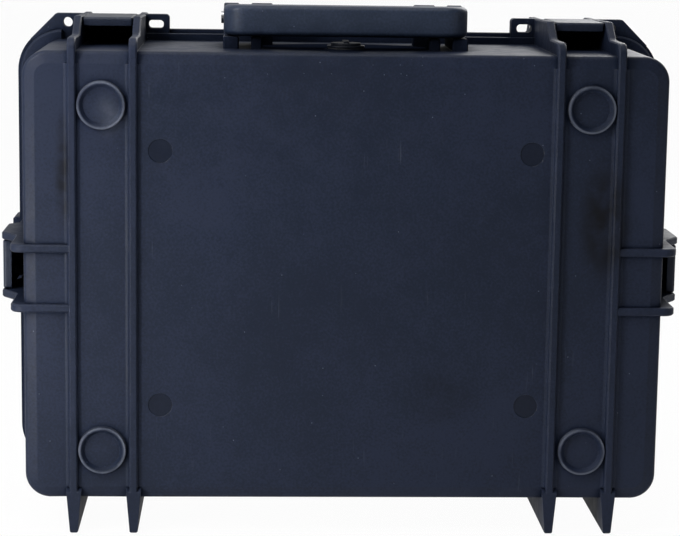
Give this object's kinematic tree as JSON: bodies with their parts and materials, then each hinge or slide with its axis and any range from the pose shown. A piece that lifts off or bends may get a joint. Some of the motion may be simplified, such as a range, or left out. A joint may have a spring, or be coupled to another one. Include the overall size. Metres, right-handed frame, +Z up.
{
  "type": "laptop hard case",
  "caption": "Moulded waterproof hard case for a laptop, with hinged lid, lever latches, fold-down handle, purge valve and foam insert.",
  "frame": {"origin": "on the floor under the middle of the closed case, standing on the feet of its hinge side", "axes": "+X across the case, +Y through its depth from the bottom of the base to the lid, +Z up to the handle"},
  "size_m": [0.5552, 0.211, 0.4202],
  "materials": {
    "case_plastic": "grained moulded polypropylene",
    "latch_plastic": "satin moulded plastic",
    "handle_plastic": "soft grained moulding",
    "valve_plastic": "satin moulded plastic",
    "seal_rubber": "soft matt",
    "steel": "stainless",
    "foam": "open-cell foam"
  },
  "bodies": {
    "base": {"base_shell": "case_plastic", "base_foam_pad": "foam", "base_foam": "foam", "hinge_pin_left": "steel", "hinge_pin_right": "steel", "handle_pin_left": "steel", "handle_pin_right": "steel", "valve_body": "valve_plastic", "valve_seal": "seal_rubber", "valve_nut": "valve_plastic"},
    "lid": {"lid_shell": "case_plastic", "lid_seal": "seal_rubber", "lid_foam": "foam", "latch_lid_pin_front_left": "steel", "latch_lid_pin_front_right": "steel", "latch_lid_pin_side_left": "steel", "latch_lid_pin_side_right": "steel"},
    "handle": {"handle_frame": "handle_plastic", "handle_grip": "handle_plastic"},
    "knob": {"valve_knob": "valve_plastic"},
    "claw_front_left": {"latch_claw_front_left": "latch_plastic", "latch_link_pin_front_left": "steel"},
    "lever_front_left": {"latch_lever_front_left": "latch_plastic"},
    "claw_front_right": {"latch_claw_front_right": "latch_plastic", "latch_link_pin_front_right": "steel"},
    "lever_front_right": {"latch_lever_front_right": "latch_plastic"},
    "claw_side_left": {"latch_claw_side_left": "latch_plastic", "latch_link_pin_side_left": "steel"},
    "lever_side_left": {"latch_lever_side_left": "latch_plastic"},
    "claw_side_right": {"latch_claw_side_right": "latch_plastic", "latch_link_pin_side_right": "steel"},
    "lever_side_right": {"latch_lever_side_right": "latch_plastic"}
  },
  "joints": [
    {"name": "lid_hinge", "type": "hinge", "parent": "base", "child": "lid", "pos_m": [0, 0.05, 0.008], "axis": [-1, 0, 0], "range_deg": [0, 105]},
    {"name": "handle_hinge", "type": "hinge", "parent": "base", "child": "handle", "pos_m": [0, 0.0035, 0.4077], "axis": [-1, 0, 0], "range_deg": [0, 95]},
    {"name": "valve_turn", "type": "hinge", "parent": "base", "child": "knob", "pos_m": [0, -0.0535, 0.389], "axis": [0, 0, 1], "range_deg": [0, 180]},
    {"name": "claw_hinge_front_left", "type": "hinge", "parent": "lid", "child": "claw_front_left", "pos_m": [-0.1909, 0.0725, 0.4001], "axis": [-1, 0, 0], "range_deg": [0, 110]},
    {"name": "lever_hinge_front_left", "type": "hinge", "parent": "claw_front_left", "child": "lever_front_left", "pos_m": [-0.1909, 0.0325, 0.4031], "axis": [-1, 0, 0], "range_deg": [0, 80]},
    {"name": "claw_hinge_front_right", "type": "hinge", "parent": "lid", "child": "claw_front_right", "pos_m": [0.1909, 0.0725, 0.4001], "axis": [-1, 0, 0], "range_deg": [0, 110]},
    {"name": "lever_hinge_front_right", "type": "hinge", "parent": "claw_front_right", "child": "lever_front_right", "pos_m": [0.1909, 0.0325, 0.4031], "axis": [-1, 0, 0], "range_deg": [0, 80]},
    {"name": "claw_hinge_side_left", "type": "hinge", "parent": "lid", "child": "claw_side_left", "pos_m": [-0.2686, 0.0725, 0.2065], "axis": [0, 0, -1], "range_deg": [0, 110]},
    {"name": "lever_hinge_side_left", "type": "hinge", "parent": "claw_side_left", "child": "lever_side_left", "pos_m": [-0.2716, 0.0325, 0.2065], "axis": [0, 0, -1], "range_deg": [0, 80]},
    {"name": "claw_hinge_side_right", "type": "hinge", "parent": "lid", "child": "claw_side_right", "pos_m": [0.2686, 0.0725, 0.2065], "axis": [0, 0, 1], "range_deg": [0, 110]},
    {"name": "lever_hinge_side_right", "type": "hinge", "parent": "claw_side_right", "child": "lever_side_right", "pos_m": [0.2716, 0.0325, 0.2065], "axis": [0, 0, 1], "range_deg": [0, 80]}
  ]
}
